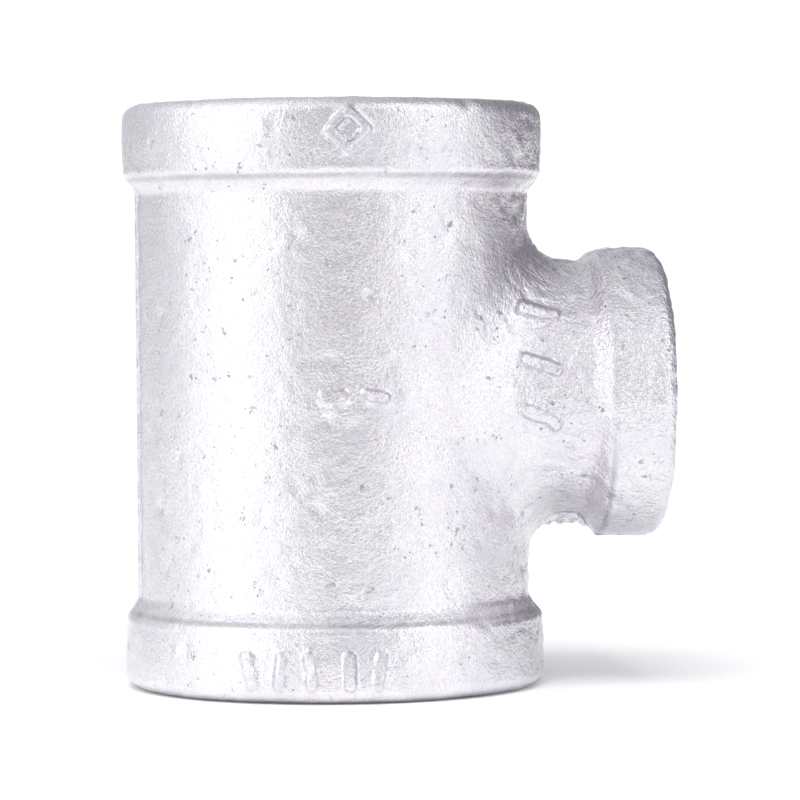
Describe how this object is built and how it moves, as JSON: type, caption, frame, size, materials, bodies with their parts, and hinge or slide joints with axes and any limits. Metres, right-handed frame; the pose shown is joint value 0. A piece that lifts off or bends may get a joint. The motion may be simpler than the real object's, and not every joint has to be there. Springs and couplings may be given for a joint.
{
  "type": "reducing tee pipe fitting",
  "caption": "Cast iron reducing tee with a straight run, a smaller side outlet, banded mouths and taper pipe threads in all three sockets.",
  "frame": {"origin": "where the centrelines of the run and the branch cross", "axes": "+Z along the run towards one of its two equal sockets, +X along the branch out of its mouth, +Y to the back"},
  "size_m": [0.0586, 0.0459, 0.0628],
  "materials": {
    "galvanized_iron": "hot-dip zinc over an as-cast skin, bright and pebbled, with bare cut threads"
  },
  "bodies": {
    "root": {"tee_body": "galvanized_iron"}
  },
  "joints": []
}
